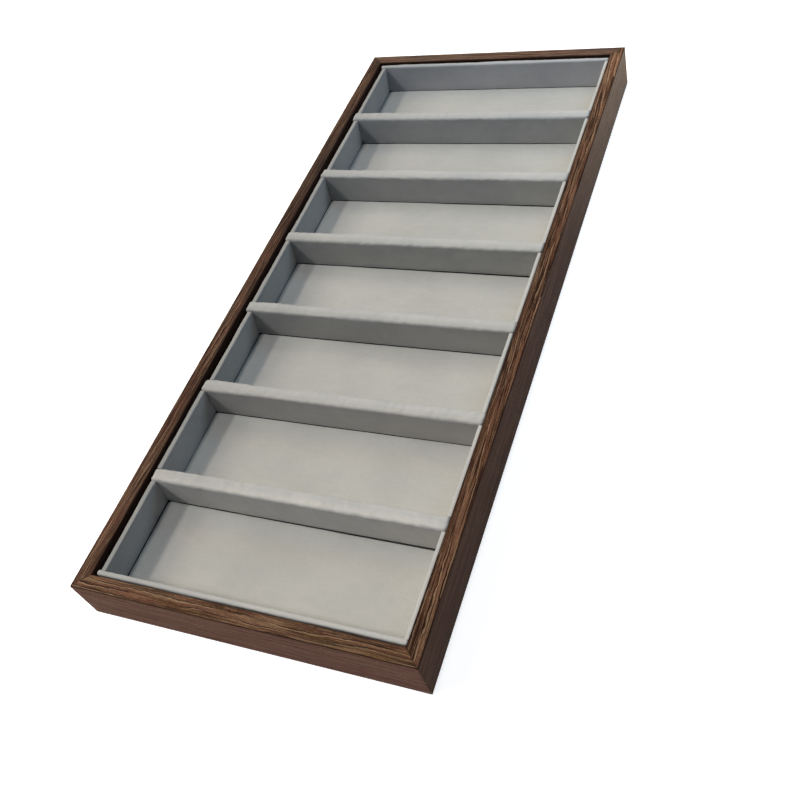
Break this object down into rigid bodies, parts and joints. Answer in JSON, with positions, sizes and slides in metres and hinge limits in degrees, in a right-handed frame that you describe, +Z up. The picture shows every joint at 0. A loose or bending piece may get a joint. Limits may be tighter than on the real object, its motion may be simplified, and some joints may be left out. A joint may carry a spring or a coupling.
{
  "type": "glasses storage tray",
  "caption": "Open wood tray with mitred rails that holds a loose velvet-covered liner, split by padded dividers into a row of pockets for folded glasses.",
  "frame": {"origin": "the middle of the frame's underside, on the surface that the tray rests on", "axes": "+X right across the tray, +Y away along its long side, +Z up"},
  "size_m": [0.2, 0.48, 0.03],
  "materials": {
    "rail_wood": "dark brown open-grained wood, satin, with near-black streaks and tan lines along each rail",
    "spline_wood": "raw pale plywood",
    "base_board": "raw fibreboard",
    "felt": "thin dark felt",
    "liner_board": "dark grey board",
    "core_board": "raw fibreboard",
    "velvet": "warm light grey velvet, short pile",
    "floor_velvet": "warm light grey velvet on card"
  },
  "bodies": {
    "frame": {"rail_near": "rail_wood", "rail_right": "rail_wood", "rail_far": "rail_wood", "rail_left": "rail_wood", "mitre_spline_near_left": "spline_wood", "mitre_spline_near_right": "spline_wood", "mitre_spline_far_left": "spline_wood", "mitre_spline_far_right": "spline_wood", "base_panel": "base_board", "underside_felt": "felt"},
    "liner": {"liner_board": "liner_board", "end_wall_core_near": "core_board", "end_wall_cover_near": "velvet", "end_wall_core_far": "core_board", "end_wall_cover_far": "velvet", "divider_core_1": "core_board", "divider_cover_1": "velvet", "divider_core_2": "core_board", "divider_cover_2": "velvet", "divider_core_3": "core_board", "divider_cover_3": "velvet", "divider_core_4": "core_board", "divider_cover_4": "velvet", "divider_core_5": "core_board", "divider_cover_5": "velvet", "divider_core_6": "core_board", "divider_cover_6": "velvet", "floor_pad_1": "floor_velvet", "side_strip_left_1": "velvet", "side_strip_right_1": "velvet", "floor_pad_2": "floor_velvet", "side_strip_left_2": "velvet", "side_strip_right_2": "velvet", "floor_pad_3": "floor_velvet", "side_strip_left_3": "velvet", "side_strip_right_3": "velvet", "floor_pad_4": "floor_velvet", "side_strip_left_4": "velvet", "side_strip_right_4": "velvet", "floor_pad_5": "floor_velvet", "side_strip_left_5": "velvet", "side_strip_right_5": "velvet", "floor_pad_6": "floor_velvet", "side_strip_left_6": "velvet", "side_strip_right_6": "velvet", "floor_pad_7": "floor_velvet", "side_strip_left_7": "velvet", "side_strip_right_7": "velvet"}
  },
  "joints": [
    {"name": "liner_lift", "type": "slide", "parent": "frame", "child": "liner", "axis": [0, 0, 1], "range_m": [0, 0.045]}
  ]
}
